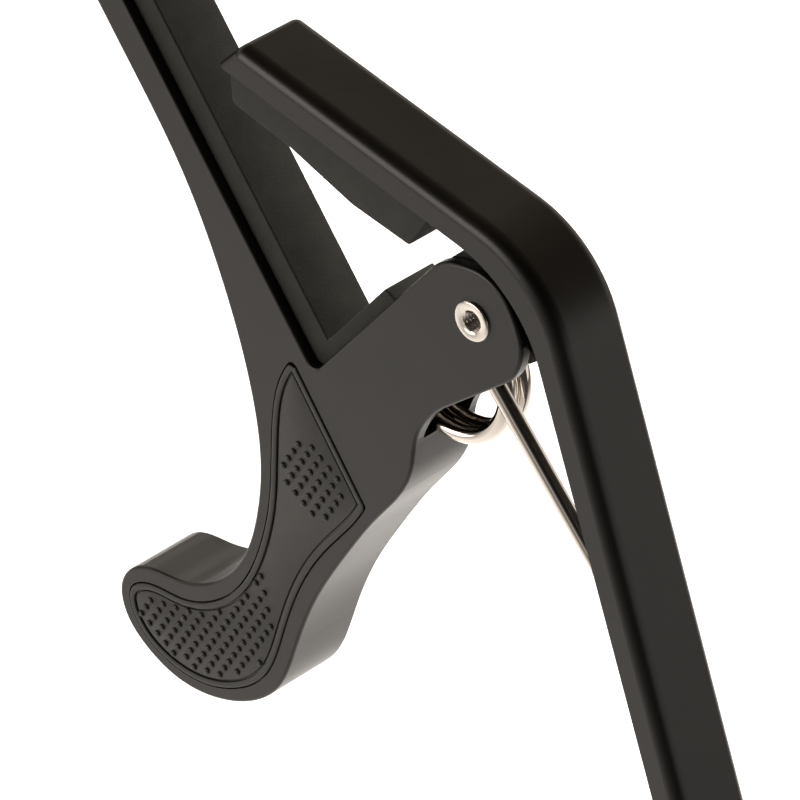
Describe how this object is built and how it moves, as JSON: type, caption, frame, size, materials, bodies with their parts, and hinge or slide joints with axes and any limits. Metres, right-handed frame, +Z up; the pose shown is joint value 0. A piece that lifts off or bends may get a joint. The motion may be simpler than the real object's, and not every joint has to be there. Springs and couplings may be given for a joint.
{
  "type": "guitar capo",
  "caption": "Spring-clamp guitar capo with an L-shaped string arm, a hooked trigger lever, soft pads and rubber grip inlays.",
  "frame": {"origin": "on the pivot axis, halfway through the width", "axes": "+Z up with the string bar level along X and its tip at -X, -Y towards the face with the pivot barrel's open head; the pivot axis is Y"},
  "size_m": [0.1537, 0.0154, 0.1284],
  "materials": {
    "black_metal": "satin black powder coat on cast aluminium",
    "black_silicone": "matte moulded silicone",
    "black_rubber": "matte moulded rubber",
    "nickel_plate": "bright nickel plate",
    "spring_steel": "bright plated spring wire",
    "bushing_brass": "turned",
    "washer_plastic": "natural nylon sheet"
  },
  "bodies": {
    "arm": {"string_arm": "black_metal", "string_pad": "black_silicone", "pivot_bushing": "bushing_brass", "thrust_washer_front": "washer_plastic", "thrust_washer_rear": "washer_plastic"},
    "lever": {"jaw_lever": "black_metal", "neck_pad": "black_silicone", "grip_inlay_front": "black_rubber", "grip_inlay_rear": "black_rubber", "pivot_barrel": "nickel_plate", "pivot_screw": "nickel_plate", "spring_coil": "spring_steel"},
    "leg": {"spring_leg": "spring_steel"}
  },
  "joints": [
    {"name": "lever_pivot", "type": "hinge", "parent": "arm", "child": "lever", "pos_m": [0, 0, 0], "axis": [0, -1, 0], "range_deg": [0, 35], "stiffness_Nm_per_rad": 2, "springref_deg": -51.57},
    {"name": "spring_leg_turn", "type": "hinge", "parent": "lever", "child": "leg", "pos_m": [-0.0044, 0, -0.0176], "axis": [0, -1, 0], "range_deg": [-51, 0], "deforming": ["spring_coil", "spring_leg"]}
  ],
  "couplings": [
    {"joint": "spring_leg_turn", "follows": "lever_pivot", "ratio": -1.454}
  ]
}
